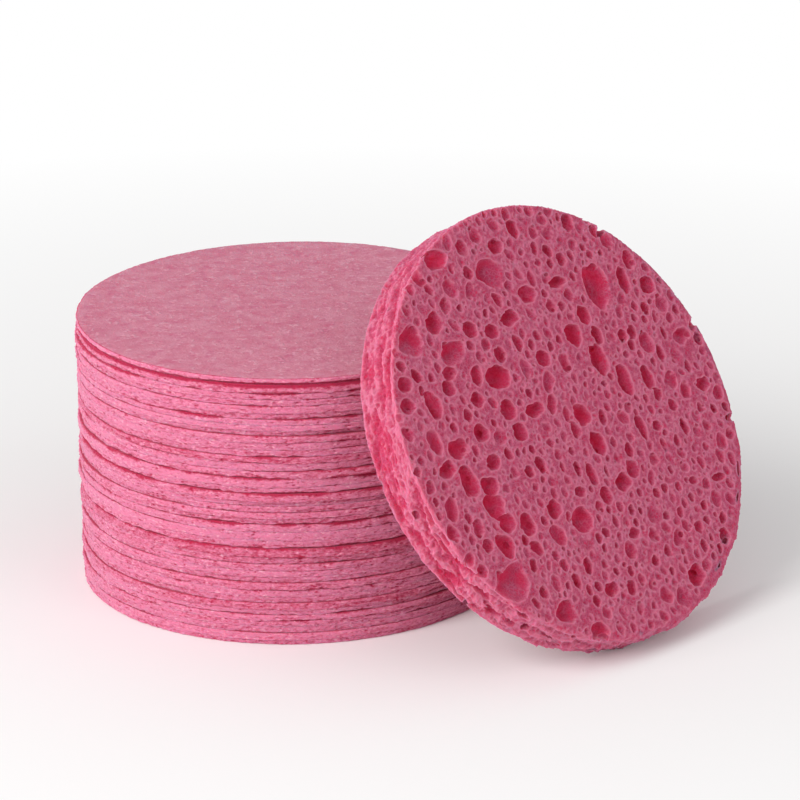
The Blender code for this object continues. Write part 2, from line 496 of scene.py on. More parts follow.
def finish_surface(tree, shader, colour, height, strength, distance):
    """Give a shader its colour, and its normal from a bump."""
    bump = add_node(tree, "Bump", {"Height": height, "Strength": strength, "Distance": distance})
    feed(tree, shader, {"Base Color": colour, "Normal": bump.outputs["Normal"]})


def foam_group():
    """Foam cells seen in section: thin walls, and small pits in some of the cells."""
    group, entry, leave = new_group("Foam cells", {"Scale": 1500.0}, ("Walls", "Pits"))
    vector = entry.outputs["Vector"]
    bend = add_node(group, "TexNoise", {"Vector": vector, "Scale": 1300.0, "Detail": 1.0})
    terms = {0: bend.outputs["Color"], 1: (0.5 * MM, 0.5 * MM, 0.5 * MM), 2: vector}
    bent = add_node(group, "VectorMath", terms, operation="MULTIPLY_ADD").outputs["Vector"]
    terms = {"Vector": bent, "Scale": entry.outputs["Scale"]}
    cells = add_node(group, "TexVoronoi", terms, feature="F1")
    edges = add_node(group, "TexVoronoi", terms, feature="DISTANCE_TO_EDGE")
    walls = add_range(group, edges.outputs["Distance"], low=0.17, high=0.03)
    split = add_node(group, "SeparateColor", {"Color": cells.outputs["Color"]})
    chosen = add_range(group, split.outputs["Red"], low=0.35, high=0.75)
    middle = add_range(group, cells.outputs["Distance"], low=0.45, high=0.20)
    feed(group, leave, {"Walls": walls, "Pits": add_math(group, "MULTIPLY", chosen, middle)})
    return group


def shared_groups():
    """The two shared groups, made the first time that they are asked for."""
    fibre = bpy.data.node_groups.get("Cellulose fibre") or fibre_group()
    foam = bpy.data.node_groups.get("Foam cells") or foam_group()
    return fibre, foam


def toned(colour, shares):
    """A colour with each channel taken to its own share."""
    return tuple(channel * share for channel, share in zip(colour, shares))


def pressed_face_material(settings, fibre_tree):
    """The flat faces of a pressed disc: matted fibres with pale specks and redder marks."""
    material, tree, shader = start_material(
        "Pressed face", roughness=0.9, sheen=0.18, glow=0.5, reach=1.2 * MM
    )
    vector = placed_coordinates(tree)
    fibre = add_fibre(tree, fibre_tree, vector, mottle=420.0, grain=1500.0, specks=950.0)
    dark = toned(settings.face_colour, (0.90, 0.66, 0.74))
    base = add_mix(tree, fibre.outputs["Mottle"], dark, settings.face_colour)
    specks = add_math(tree, "MULTIPLY", fibre.outputs["Specks"], 0.75)
    grained = add_mix(tree, specks, base, settings.face_fibre_colour)
    red = toned(settings.edge_colour, (0.72, 0.42, 0.55))
    blotches = add_noise(tree, vector, scale=640.0, detail=2.0, roughness=0.55)
    marks = add_range(tree, blotches, low=0.55, high=0.72)
    marks = add_math(tree, "MULTIPLY", marks, 0.6)
    coloured = add_mix(tree, marks, grained, red)
    height = add_math(tree, "ADD", fibre.outputs["Grain"], fibre.outputs["Specks"])
    finish_surface(tree, shader, coloured, height, strength=0.6, distance=0.14 * MM)
    return material


def pressed_edge_material(settings, fibre_tree, foam_tree):
    """The cut edge of a pressed disc: pale torn fibres over redder grooves, with painted shade deep in its
    grooves, pits and lines.
    """
    material, tree, shader = start_material(
        "Pressed edge", roughness=0.9, sheen=0.26, glow=0.5, reach=1.2 * MM
    )
    vector = placed_coordinates(tree, scale=(1.0, 1.0, 2.4))
    fibre = add_fibre(tree, fibre_tree, vector, mottle=380.0, grain=1900.0, specks=1200.0)
    foam = add_foam(tree, foam_tree, vector, scale=1250.0)
    relief = add_attribute(tree, "relief")
    tone = add_attribute(tree, "tone")
    raised = add_math(tree, "ADD", relief, add_math(tree, "SUBTRACT", tone, 0.5))
    grain = add_math(tree, "MULTIPLY", fibre.outputs["Grain"], 0.75)
    raised = add_math(tree, "ADD", raised, add_math(tree, "SUBTRACT", grain, 0.37))
    # Painted shade in the foam's small pits
    pits = add_math(tree, "MULTIPLY", foam.outputs["Pits"], fibre.outputs["Mottle"])
    raised = add_math(tree, "SUBTRACT", raised, add_math(tree, "MULTIPLY", pits, 0.9))
    # Painted shade: low relief takes the deep groove colour
    amount = add_range(tree, raised, low=0.05, high=0.86)
    base = add_mix(tree, amount, settings.groove_shade_colour, settings.edge_colour)
    pale = tuple(min(1.0, channel * 1.25) for channel in settings.face_fibre_colour)
    specks = add_math(tree, "MULTIPLY", fibre.outputs["Specks"], amount)
    coloured = add_mix(tree, add_math(tree, "MULTIPLY", specks, 0.75), base, pale)
    height = add_math(tree, "SUBTRACT", fibre.outputs["Grain"], pits)
    finish_surface(tree, shader, coloured, height, strength=0.7, distance=0.15 * MM)
    return material


def sponge_material(settings, fibre_tree, foam_tree):
    """Open-cell sponge: pale walls and lips, deeper cell floors and crimson hollows, as a painted highlight on the
    lips and painted shade in the cells and pores.
    """
    material, tree, shader = start_material(
        "Open-cell sponge", roughness=0.85, sheen=0.10, glow=0.75, reach=2.0 * MM
    )
    vector = placed_coordinates(tree)
    fibre = add_fibre(tree, fibre_tree, vector, mottle=240.0, grain=2100.0, specks=1300.0)
    broad = add_foam(tree, foam_tree, vector, scale=1450.0)
    fine = add_foam(tree, foam_tree, vector, scale=2600.0)
    lip = add_attribute(tree, "lip")
    # Painted shade: deeper places take more of the cell floors' colour
    shallow = add_range(tree, add_attribute(tree, "depth"), low=0.05, high=0.60)
    walls = add_math(tree, "MAXIMUM", broad.outputs["Walls"], lip)
    walls = add_math(tree, "MAXIMUM", walls, add_math(tree, "MULTIPLY", fine.outputs["Walls"], 0.6))
    mottle = add_math(tree, "SUBTRACT", fibre.outputs["Mottle"], 0.5)
    mottle = add_math(tree, "MULTIPLY", mottle, 0.25)
    pale = add_math(tree, "ADD", add_math(tree, "MULTIPLY", walls, 0.85), mottle)
    pale = add_math(tree, "SUBTRACT", pale, add_math(tree, "MULTIPLY", shallow, 0.45))
    pale = add_range(tree, pale, low=0.0, high=1.0)
    # The foam's pale walls over its cell floors: partly the foam's own pattern, partly painted shade in the cells
    base = add_mix(tree, pale, settings.cell_shade_colour, settings.wall_colour)
    # Painted highlight on the pores' lips
    base = add_mix(tree, add_math(tree, "MULTIPLY", lip, 0.6), base, settings.lip_highlight_colour)
    # Painted shade in the foam's small pits
    pits = add_math(tree, "MAXIMUM", broad.outputs["Pits"], fine.outputs["Pits"])
    off_lip = add_math(tree, "SUBTRACT", 1.0, lip)
    pits = add_math(tree, "MULTIPLY", add_math(tree, "MULTIPLY", pits, 0.9), off_lip)
    between = tuple(sum(pair) / 2.0 for pair in zip(settings.pore_shade_colour, settings.cell_shade_colour))
    pitted = add_mix(tree, pits, base, between)
    # Painted shade deep in the pores
    hollow = add_attribute(tree, "hollow")
    coloured = add_mix(tree, hollow, pitted, settings.pore_shade_colour)
    height = add_math(tree, "SUBTRACT", add_math(tree, "MULTIPLY", walls, 0.5), pits)
    height = add_math(tree, "ADD", height, add_math(tree, "MULTIPLY", fibre.outputs["Grain"], 0.25))
    finish_surface(tree, shader, coloured, height, strength=0.55, distance=0.16 * MM)
    return material


# Pressed discs


def linked_object(name, data):
    item = bpy.data.objects.new(name, data)
    bpy.context.scene.collection.objects.link(item)
    return item


def finished_mesh(name, shape):
    """A bmesh turned into a new mesh, and freed."""
    mesh = bpy.data.meshes.new(name)
    shape.to_mesh(mesh)
    shape.free()
    return mesh


def read_vectors(mesh, name):
    """The place or normal of every vertex, one to a row."""
    values = np.empty(len(mesh.vertices) * 3)
    mesh.vertices.foreach_get(name, values)
    return values.reshape(-1, 3)


def write_places(mesh, places):
    mesh.vertices.foreach_set("co", places.ravel())
    mesh.update()


def spun_disc(radius, steps):
    """A closed disc spun from the outline of half a slice, its rings numbered, as a mesh."""
    shape = bmesh.new()
    ring = shape.verts.layers.float.new("ring")
    points = []
    for number, (share, inset, height, _, _) in enumerate(DISC_OUTLINE):
        point = shape.verts.new((share * radius - inset * MM, 0.0, height * MM))
        point[ring] = number
        points.append(point)
    edges = [shape.edges.new(pair) for pair in zip(points, points[1:])]
    bmesh.ops.spin(
        shape,
        geom=points + edges,
        cent=(0.0, 0.0, 0.0),
        axis=(0.0, 0.0, 1.0),
        dvec=(0.0, 0.0, 0.0),
        angle=math.tau,
        steps=steps,
        use_merge=True,
        use_duplicate=False,
    )
    bmesh.ops.remove_doubles(shape, verts=shape.verts, dist=0.001 * MM)
    bmesh.ops.recalc_face_normals(shape, faces=shape.faces)
    return finished_mesh("plain disc", shape)


def own_seed(number, steps):
    """A place in the noise of a disc's or line's own."""
    return Vector([step * number for step in steps])


def waves(along, seed, layers):
    """Noise round the pile, as the sum of its layers."""
    return sum(size * noise.noise(along * rate + seed * share) for rate, share, size in layers)


def line_at(number, along, width):
    """The line above a disc at one place round it: its strength, half height and drift.

    The drift never takes an edge past the middle of the gap, so the discs slide freely.
    """
    if not 0 < number < len(disc_nodes):
        return END_LINE
    seed = own_seed(number, (1.9, 0.7, 4.1))
    uneven = waves(along, seed, LINE_WAVES)
    if number == len(disc_nodes) - 1:
        uneven *= TOP_LINE_WAVE_SHARE
    closed = CLOSED_SHARE * max(0.0, along.dot(CLOSED_TOWARDS)) ** 2
    opening = LINE_OPENING + uneven
    strength = max(0.0, min(1.0, LINE_SHARES[number - 1] * opening * (1.0 - closed)))
    half = max(width * (LINE_GAIN * strength - LINE_LOSS), LEAST_HALF)
    drift = waves(along, seed, DRIFT_WAVES)
    room = DISC_SWELL + half
    return strength, half, max(-room, min(room, drift * MM))


def edge_relief(point, seed):
    """How far a pressed edge stands in or out at a point, from about -1 to 1."""
    total = 0.0
    for length, height, share, size in TORN_WAVES:
        place = Vector((point.x / length, point.y / length, point.z / height))
        total += size * noise.noise(place + seed * share)
    return total


def edge_pit(point, seed):
    """A sparse small hole in a pressed edge, from 0 to 1 at its middle."""
    place = Vector((point.x / PIT_ACROSS, point.y / PIT_ACROSS, point.z / PIT_UP)) + seed
    distances, _ = noise.voronoi(place, distance_metric="DISTANCE")
    return max(0.0, 1.0 - distances[0] / PIT_WIDTH_SHARE)


def shape_disc(shape, thickness, settings, number):
    """Move the disc's vertices to a wandering, torn edge, and note its tone and relief; the relief also paints
    shade into the edge's pits and open lines.
    """
    seed = own_seed(number, (7.31, 3.17, 5.73))
    ring = shape.verts.layers.float["ring"]
    relief = shape.verts.layers.float.new("relief")
    tone = shape.verts.layers.float.new("tone")
    last = len(disc_nodes)
    wander = settings.edge_wander if 1 < number < last else END_WANDER
    low_swell = DISC_SWELL if number > 1 else 0.0
    high_swell = DISC_SWELL if number < last else 0.0
    for vertex in shape.verts:
        place = vertex.co
        reach = math.hypot(place.x, place.y)
        row = round(vertex[ring])
        _, _, height, low_share, high_share = DISC_OUTLINE[row]
        along = Vector((place.x, place.y, 0.0)) / max(reach, 0.001 * MM)
        low_line, low_half, low_drift = line_at(number - 1, along, settings.line_width)
        high_line, high_half, high_drift = line_at(number, along, settings.line_width)
        vertex[tone] = DISC_TONE_SHARES[number - 1]
        up = height * thickness
        if low_share < 0.0:
            up -= low_swell
        elif low_share > 0.0:
            up += low_share * (low_half + low_drift)
        if high_share < 0.0:
            up += high_swell
        elif high_share > 0.0:
            up -= high_share * (high_half - high_drift)
        place.z = up
        if not FIRST_EDGE_RING <= row <= LAST_EDGE_RING:
            vertex[relief] = RING_RELIEF_AND_SHADE_SHARES[row]
            continue
        point = place / MM
        torn = edge_relief(point, seed)
        pit = edge_pit(point, seed)
        outer = 1.0 if FIRST_EDGE_RING < row < LAST_EDGE_RING else 0.4
        step = wander * waves(along, seed, WANDER_WAVES)
        step += outer * (settings.edge_roughness * torn - PIT_DEPTH * pit)
        groove = max(low_share, 0.0) * low_line + max(high_share, 0.0) * high_line
        beside = max(low_share, high_share, 0.0)
        shut = max(0.0, min(1.0, (HALF_OPEN - groove) / SHUT_SPAN))
        flush = SHUT_BULGE * shut - OPEN_DRAW * max(0.0, groove - HALF_OPEN)
        step += beside * flush * MM
        if number == last:
            step += TOP_RIM_STEPS.get(row, 0.0)
        place.x += along.x * step
        place.y += along.y * step
        # Painted shade: pits and open lines take the deep groove colour, and shut lines a painted lift of light
        raised = TORN_RELIEF * torn - PIT_SHADE * pit - GROOVE_SHADE * groove * groove
        vertex[relief] = RING_RELIEF_AND_SHADE_SHARES[row] + raised + SHUT_LIGHT * beside * shut


def make_disc(number, plain, settings, materials):
    low, high = disc_box(number)
    shape = bmesh.new()
    shape.from_mesh(plain)
    shape_disc(shape, high.z - low.z, settings, number)
    ring = shape.verts.layers.float["ring"]
    # The top disc's upper rim is seen with its face, and has the face's material
    last_edge_ring = LAST_EDGE_RING - (number == len(disc_nodes))
    # Painted shade: the faces' outer margins, hidden in the gaps between discs, take the edge's material and its
    # crimson
    for face in shape.faces:
        rows = [vertex[ring] for vertex in face.verts]
        is_flat = max(rows) < FIRST_EDGE_RING or min(rows) > last_edge_ring
        face.smooth = True
        face.material_index = 0 if is_flat else 1
    for edge in shape.edges:
        rows = {round(vertex[ring]) for vertex in edge.verts}
        edge.smooth = len(rows) > 1 or not rows & set(CORNER_RINGS)
    centre = Vector(((low.x + high.x) / 2.0, (low.y + high.y) / 2.0, low.z))
    bmesh.ops.translate(shape, verts=shape.verts, vec=centre)
    mesh = finished_mesh(f"pressed_disc_{number:02d}", shape)
    for material in materials:
        mesh.materials.append(material)
    disc = linked_object(mesh.name, mesh)
    node = f"{DISC_PREFIX}{number:02d}"
    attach(disc, body_of_node[node])
    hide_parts(node)


# Expanded sponge


def sponge_place():
    """The sponge's size in millimetres, and the matrix that sets it leaning."""
    joint = next(joint for joint in frame["joints"] if joint["name"] == SPONGE_JOINT)
    normal = Vector(joint["axis"]).normalized()
    sideways = Vector((-normal.y, normal.x, 0.0)).normalized()
    upward = normal.cross(sideways)
    points = read_vectors(frame["nodes"][SPONGE_NODE].data, "co")
    across, up, out = (points @ np.array(line) for line in (sideways, upward, normal))
    middle = sideways * float((across.max() + across.min()) / 2.0)
    middle += upward * float((up.max() + up.min()) / 2.0)
    middle += normal * float(out.min())
    radius = float(across.max() - across.min()) / 2.0
    thickness = float(out.max() - out.min())
    turn = Matrix((sideways, upward, normal)).transposed().to_4x4()
    place = Matrix.Translation(middle) @ turn @ Matrix.Scale(MM, 4)
    return radius / MM, thickness / MM, place


def evaluated_mesh(item):
    """The item's mesh with its modifiers applied, as a new mesh."""
    depsgraph = bpy.context.evaluated_depsgraph_get()
    return bpy.data.meshes.new_from_object(item.evaluated_get(depsgraph), depsgraph=depsgraph)


def drop_object(item):
    mesh = item.data
    bpy.data.objects.remove(item, do_unlink=True)
    bpy.data.meshes.remove(mesh)


def fine_slab(radius, thickness):
    """A round slab on z = 0 with small even faces all over."""
    shape = bmesh.new()
    bmesh.ops.create_cone(
        shape,
        cap_ends=True,
        segments=128,
        radius1=radius,
        radius2=radius,
        depth=thickness,
        matrix=Matrix.Translation((0.0, 0.0, thickness / 2.0)),
    )
    rims = [edge for edge in shape.edges if len({round(v.co.z, 3) for v in edge.verts}) == 1]
    bmesh.ops.bevel(
        shape,
        geom=rims,
        offset=CORNER_ROUNDING,
        segments=4,
        profile=0.5,
        affect="EDGES",
        material=-1,
    )
    slab = linked_object("sponge slab", finished_mesh("sponge slab", shape))
    remesh = slab.modifiers.new("Even faces", "REMESH")
    remesh.mode = "VOXEL"
    remesh.voxel_size = VOXEL
    fine = evaluated_mesh(slab)
    drop_object(slab)
    return fine


def cell_pit(place, depth):
    """Depth of the small foam cell that covers a place, 0 on the walls between cells."""
    distances, centres = noise.voronoi(place, distance_metric="DISTANCE")
    wall = min(1.0, (distances[1] - distances[0]) / 0.42)
    own = 0.45 + 0.55 * abs(noise.noise(centres[0] * 1.7))
    return depth * own * wall * (2.0 - wall)


def face_dent(place, warp, cell):
    """How deep the face's foam cells and its waves are at a place."""
    pits = sum(cell_pit((place + warp) / (share * cell), depth) for share, depth in FACE_CELLS)
    return pits + FACE_WAVE * noise.noise(place / 3.0)


def rim_tear(place, warp):
    """How far the rim is torn in at a place, less what the slab is wider there."""
    turn = math.atan2(place.y, place.x)
    torn = TORN_SHARE + TORN_CHANGE * math.cos(turn - TORN_TOWARDS)
    across, up = POCKET_CELLS
    cells = Vector((place.x / across, place.y / across, place.z / up))
    pocket = cell_pit(cells + warp * 0.6, POCKET_DEPTH)
    fine = cell_pit(Vector((place.x, place.y, place.z * 1.4)) / 0.8 + warp, FINE_POCKET_DEPTH)
    across, up = LAYER_REACH
    level = noise.noise(Vector((place.x / across, place.y / across, place.z / up)))
    level *= LAYER_COUNT
    tear = LAYER_STEP * (math.floor(level) + min(1.0, 3.5 * (level % 1.0)))
    low = max(0.0, math.cos(turn - LOW_TOWARDS))
    spare = RIM_LEAN * math.cos(turn - WIDE_TOWARDS) + LOW_SPARE * low ** 6
    return torn * (pocket + fine + tear) - spare


def roughen_slab(mesh, cell):
    """Press foam cells into the slab's faces and tear its rim into flat pockets."""
    noise.seed_set(SEED)
    places = read_vectors(mesh, "co")
    normals = read_vectors(mesh, "normal")
    inward = np.zeros(len(places))
    for index, row in enumerate(places):
        place = Vector(row)
        warp = noise.noise_vector(place / 1.3) * 0.35
        facing = abs(Vector(normals[index]).z)
        if facing > 0.05:
            inward[index] += facing * face_dent(place, warp, cell)
        if facing < 0.95:
            inward[index] += (1.0 - facing) * rim_tear(place, warp)
    write_places(mesh, places - normals * inward[:, None])


class Pore:
    """One hollow to be cut, by its middle, half sizes, turn about the normal and slant."""

    def __init__(self, middle, sizes, turn, detail, slant=(0.0, 0.0), mouth=0.0):
        self.middle = Vector(middle)
        self.sizes = sizes
        self.turn = turn
        self.detail = detail
        self.slant = slant
        self.mouth = mouth
        self.reach = max(sizes) * (1.25 + 0.6 * max(abs(slant[0]), abs(slant[1])))
        self.opening = (sizes[0] + sizes[1]) / 2.0


def face_pore(across, up, half_wide, half_tall, depth, height, sign, turn, detail, slant):
    """A hollow that opens on a face: an undercut one where deep, and a bowl where shallow."""
    ratio = 2.0 * depth / (half_wide + half_tall)
    least, most = MIDDLE_RANGE
    offset = max(least, min(most, MIDDLE_START - MIDDLE_FALL * ratio))
    swell = 1.0 / math.sqrt(1.0 - offset * offset)
    down = depth / (1.0 - offset)
    middle = (across, up, height + sign * offset * down)
    sizes = (half_wide * swell, half_tall * swell, down)
    return Pore(middle, sizes, turn, detail, slant, height)


def clear_of(places, across, up, reach):
    """Whether a pore of this reach touches none of the pores at these places."""
    if not places:
        return True
    taken = np.array(places)
    gaps = np.hypot(taken[:, 0] - across, taken[:, 1] - up)
    return bool(np.all(gaps > taken[:, 2] + reach))


def listed_pores(radius, thickness):
    pores = []
    for pore in FACE_PORES:
        across, up, wide, tall, deep = (share / 100.0 for share in (*pore, USUAL_PORE_DEPTH)[:5])
        half_wide = wide * radius / 2.0
        half_tall = PORE_TALLER * tall * radius / 2.0
        size = (half_wide, half_tall, PORE_SHALLOWER * deep * (half_wide + half_tall))
        detail = 4 if max(pore[2:4]) > FINE_PORE_FROM else 3
        place = (across * radius, up * radius)
        pores.append(face_pore(*place, *size, thickness, 1.0, 0.0, detail, FACE_SLANT))
    return pores


def scattered_pores(radius, height, sign, taken, largest, source):
    """Common pores of one face, smaller and smaller, each clear of those before it."""
    pores = []
    places = [(pore.middle.x, pore.middle.y, pore.opening) for pore in taken]
    for count, small, large, gap, detail in (largest, *SMALLER_PORES):
        placed = 0
        tries = 0
        while placed < count and tries < count * TRIES_EACH:
            tries += 1
            turn = source.uniform(0.0, math.tau)
            reach = math.sqrt(source.random()) * (radius - 0.6)
            across, up = reach * math.cos(turn), reach * math.sin(turn)
            half = source.uniform(small, large) / 2.0
            if not clear_of(places, across, up, half + gap):
                continue
            depth = half * source.choice(DEPTH_CHOICES)
            wide = half * source.uniform(0.8, 1.0)
            tall = half * source.uniform(0.95, 1.25)
            twist = source.uniform(-0.6, 0.6)
            lean = source.uniform(0.2, 1.0)
            slant = (lean * FACE_SLANT[0], lean * FACE_SLANT[1])
            size = (wide, tall, depth)
            pores.append(face_pore(across, up, *size, height, sign, twist, detail, slant))
            places.append((across, up, half))
            placed += 1
    return pores


def inner_pores(pores, sign, source):
    """A smaller hollow in the wall of each large pore, as where cells meet."""
    inner = []
    for pore in pores:
        if pore.opening < INNER_PORE_FROM:
            continue
        turn = source.uniform(0.0, math.tau)
        size = source.uniform(0.22, 0.36) * min(pore.sizes[:2])
        middle = pore.middle + Vector((
            math.cos(turn) * pore.sizes[0] * INNER_PORE_REACH,
            math.sin(turn) * pore.sizes[1] * INNER_PORE_REACH,
            -sign * pore.sizes[2] * source.uniform(0.45, 0.8),
        ))
        inner.append(Pore(middle, (size, size * 1.2, size), turn, 2, pore.slant, pore.mouth))
    return inner


def rim_pores(radius, thickness, source):
    """Flat pockets that run round the rim in loose layers, and the chips."""
    pores = []
    for _ in range(RIM_POCKETS):
        turn = source.uniform(0.0, math.tau)
        height = source.uniform(0.5, thickness - 0.5)
        half_long = source.uniform(0.5, 1.6)
        half_tall = source.uniform(0.30, 0.75)
        deep = source.uniform(0.30, 0.62)
        reach = radius - source.uniform(-0.3, 0.2) * deep
        middle = (reach * math.cos(turn), reach * math.sin(turn), height)
        pores.append(Pore(middle, (deep, half_long, half_tall), turn, 2))
    for degrees, share, *sizes in RIM_CHIPS:
        turn = math.radians(degrees)
        middle = (radius * math.cos(turn), radius * math.sin(turn), share * thickness)
        pores.append(Pore(middle, tuple(sizes), turn, 3))
    return pores


def pore_forms(detail):
    """Unit hollows of several irregular forms, each as its points and its faces."""
    forms = []
    for number in range(PORE_FORMS):
        shape = bmesh.new()
        bmesh.ops.create_icosphere(shape, subdivisions=detail, radius=1.0)
        shift = Vector((number * 1.37, number * 2.71, number * 0.93 + detail))
        for vertex in shape.verts:
            swell = 1.0 + 0.28 * noise.noise(vertex.co * 1.15 + shift)
            if detail > 2:
                swell += 0.10 * noise.noise(vertex.co * 3.1 - shift)
            vertex.co *= swell
        points = np.array([vertex.co for vertex in shape.verts])
        faces = np.array([[vertex.index for vertex in face.verts] for face in shape.faces])
        forms.append((points, faces))
        shape.free()
    return forms


def pore_groups(pores):
    """The pores in as few groups as keep those of one group clear of each other."""
    groups = []
    for pore in sorted(pores, key=lambda item: -item.reach):
        for group in groups:
            gaps = np.linalg.norm(np.array(group["places"]) - np.array(pore.middle), axis=1)
            if np.all(gaps > np.array(group["reaches"]) + pore.reach):
                break
        else:
            group = {"places": [], "reaches": [], "pores": []}
            groups.append(group)
        group["places"].append(tuple(pore.middle))
        group["reaches"].append(pore.reach)
        group["pores"].append(pore)
    return [group["pores"] for group in groups]


def cutter_objects(pores):
    """Cutting meshes, each of pores that are clear of each other."""
    forms = {detail: pore_forms(detail) for detail in {pore.detail for pore in pores}}
    cutters = []
    for group in pore_groups(pores):
        all_points = []
        all_faces = []
        start = 0
        for number, pore in enumerate(group):
            points, faces = forms[pore.detail][number % PORE_FORMS]
            turn = np.array(Matrix.Rotation(pore.turn, 3, "Z"))
            placed = (points * np.array(pore.sizes)) @ turn.T + np.array(pore.middle)
            placed[:, :2] += np.outer(placed[:, 2] - pore.mouth, pore.slant)
            all_points.append(placed)
            all_faces.append(faces + start)
            start += len(points)
        mesh = bpy.data.meshes.new("pore cutter")
        mesh.from_pydata(np.concatenate(all_points), [], np.concatenate(all_faces))
        cutters.append(linked_object("pore cutter", mesh))
    return cutters


def cut_pores(mesh, pores):
    """The sponge with its pores cut away, as a new mesh."""
    sponge = linked_object("sponge cut", mesh)
    cutters = cutter_objects(pores)
    for cutter in cutters:
        boolean = sponge.modifiers.new("Pores", "BOOLEAN")
        boolean.operation = "DIFFERENCE"
        boolean.solver = "MANIFOLD"
        boolean.object = cutter
    result = evaluated_mesh(sponge)
    drop_object(sponge)
    for cutter in cutters:
        drop_object(cutter)
    return result


def mend_faces(mesh):
    """Replace the few faces that the cuts left pinched, so that the surface is sound and closed."""
    mesh.validate()
    shape = bmesh.new()
    shape.from_mesh(mesh)
    open_edges = [edge for edge in shape.edges if edge.is_boundary]
    bmesh.ops.holes_fill(shape, edges=open_edges, sides=0)
    shape.to_mesh(mesh)
    shape.free()


def ramp(values, start, span):
    """0 up to the start and 1 past the span."""
    return np.clip((values - start) / span, 0.0, 1.0)


def note_hollows(mesh, radius, thickness):
    """Store how near each vertex is to a pore's lip, how deep it looks and how hollow, for a painted highlight on
    the lips and painted shade in the pores.
    """
    places = read_vectors(mesh, "co")
    from_rim = radius - np.hypot(places[:, 0], places[:, 1])
    depth = np.minimum(np.minimum(places[:, 2], thickness - places[:, 2]), from_rim)
    sharp = np.zeros(len(mesh.edges), bool)
    mesh.attributes["sharp_edge"].data.foreach_get("value", sharp)
    ends = np.empty(len(mesh.edges) * 2, np.int32)
    mesh.edges.foreach_get("vertices", ends)
    on_lip = np.unique(ends.reshape(-1, 2)[sharp].ravel())
    on_lip = on_lip[depth[on_lip] < LIP_DEPTH]
    tree = kdtree.KDTree(len(on_lip))
    for number, index in enumerate(on_lip):
        tree.insert(places[index], number)
    tree.balance()
    gap = np.array([tree.find(place)[2] for place in places])
    # Painted highlight near the lips, and painted shade that grows with depth in steep pores
    lip = np.exp(-((gap / LIP_WIDTH) ** 2))
    steep = ramp(depth / np.maximum(gap, 0.05), start=0.55, span=0.38)
    hollow = 0.9 * steep * ramp(depth, start=0.2, span=1.4)
    hollow[from_rim <= depth] *= 0.6
    gentle = (1.0 - steep) * ramp(depth, start=0.35, span=0.5)
    looks_deep = np.maximum(depth + gentle * (0.2 - depth), 0.0)
    for name, values in (("lip", lip), ("depth", looks_deep), ("hollow", hollow)):
        layer = mesh.attributes.new(name, "FLOAT", "POINT")
        layer.data.foreach_set("value", values.astype(np.float32))


def rest_on_table(mesh):
    """Flatten the sponge's lowest edge where it stands on the table."""
    places = read_vectors(mesh, "co")
    places[:, 2] = np.maximum(places[:, 2], 0.02 * MM)
    write_places(mesh, places)


# Stage

# How strong the white world is to the pieces. To the camera it is 1.
WORLD_STRENGTH = 0.45
# The floor fades to white between these two distances from the middle
FLOOR_FADE = (0.05, 0.24)
FLOOR_REACH = 3.0
# Lamps, as name, place, width, power in watts and colour, and the place that they all point at
LAMPS = (
    ("Key", (-0.64, -0.60, 0.56), 0.75, 10.1, (1.0, 0.99, 0.98)),
    ("Fill", (0.75, -0.60, 0.50), 0.90, 1.9, (1.0, 0.99, 1.0)),
)
LAMP_TARGET = Vector((0.01, 0.0, 0.025))


def area_lamp(name, place, size, power, colour):
    lamp = bpy.data.lights.new(name, "AREA")
    lamp.shape = "DISK"
    lamp.size = size
    lamp.energy = power
    lamp.color = colour
    item = linked_object(name, lamp)
    item.location = place
    item.rotation_euler = (LAMP_TARGET - Vector(place)).to_track_quat("-Z", "Y").to_euler()


def studio_world():
    """White to the camera, plain soft grey to the object."""
    world = bpy.data.worlds.new("Studio")
    world.use_nodes = True
    tree = world.node_tree
    seen = add_node(tree, "LightPath", {}).outputs["Is Camera Ray"]
    terms = {"Value": seen, "To Min": WORLD_STRENGTH, "To Max": 1.0}
    strength = add_node(tree, "MapRange", terms).outputs["Result"]
    feed(tree, tree.nodes["Background"], {"Color": (1.0, 0.99, 0.99), "Strength": strength})
    bpy.context.scene.world = world


def floor_material(settings):
    """Pale floor that keeps the shadow near the object and fades to white far off."""
    material = bpy.data.materials.new("Floor")
    material.use_nodes = True
    tree = material.node_tree
    shader = tree.nodes["Principled BSDF"]
    terms = {"Base Color": settings.floor_colour, "Roughness": 0.9, "Specular IOR Level": 0.0}
    feed(tree, shader, terms)
    glow = add_node(tree, "Emission", {"Strength": 1.0})
    place = add_node(tree, "TexCoord", {}).outputs["Object"]
    length = add_node(tree, "VectorMath", {0: place}, operation="LENGTH")
    far = add_range(tree, length.outputs["Value"], *FLOOR_FADE)
    seen = add_node(tree, "LightPath", {}).outputs["Is Camera Ray"]
    terms = {0: add_math(tree, "MULTIPLY", far, seen), 1: shader.outputs[0], 2: glow.outputs[0]}
    mix = add_node(tree, "MixShader", terms)
    feed(tree, tree.nodes["Material Output"], {"Surface": mix.outputs[0]})
    return material


def photo_camera():
    """The camera at the photograph's viewing angle."""
    forward = Vector((0.0, math.cos(CAMERA_PITCH), -math.sin(CAMERA_PITCH)))
    right = Vector((1.0, 0.0, 0.0))
    up = Vector((0.0, math.sin(CAMERA_PITCH), math.cos(CAMERA_PITCH)))
    cosine, sine = math.cos(CAMERA_ROLL), math.sin(CAMERA_ROLL)
    rolled_right = right * cosine + up * sine
    rolled_up = up * cosine - right * sine
    turn = Matrix((rolled_right, rolled_up, -forward)).transposed().to_4x4()
    data = bpy.data.cameras.new("Photo camera")
    data.lens = CAMERA_LENS
    data.sensor_width = CAMERA_SENSOR
    data.clip_start = 0.01
    data.clip_end = 20.0
    camera = linked_object("Photo camera", data)
    camera.matrix_world = Matrix.Translation(CAMERA_TARGET - forward * CAMERA_DISTANCE) @ turn
    bpy.context.scene.camera = camera


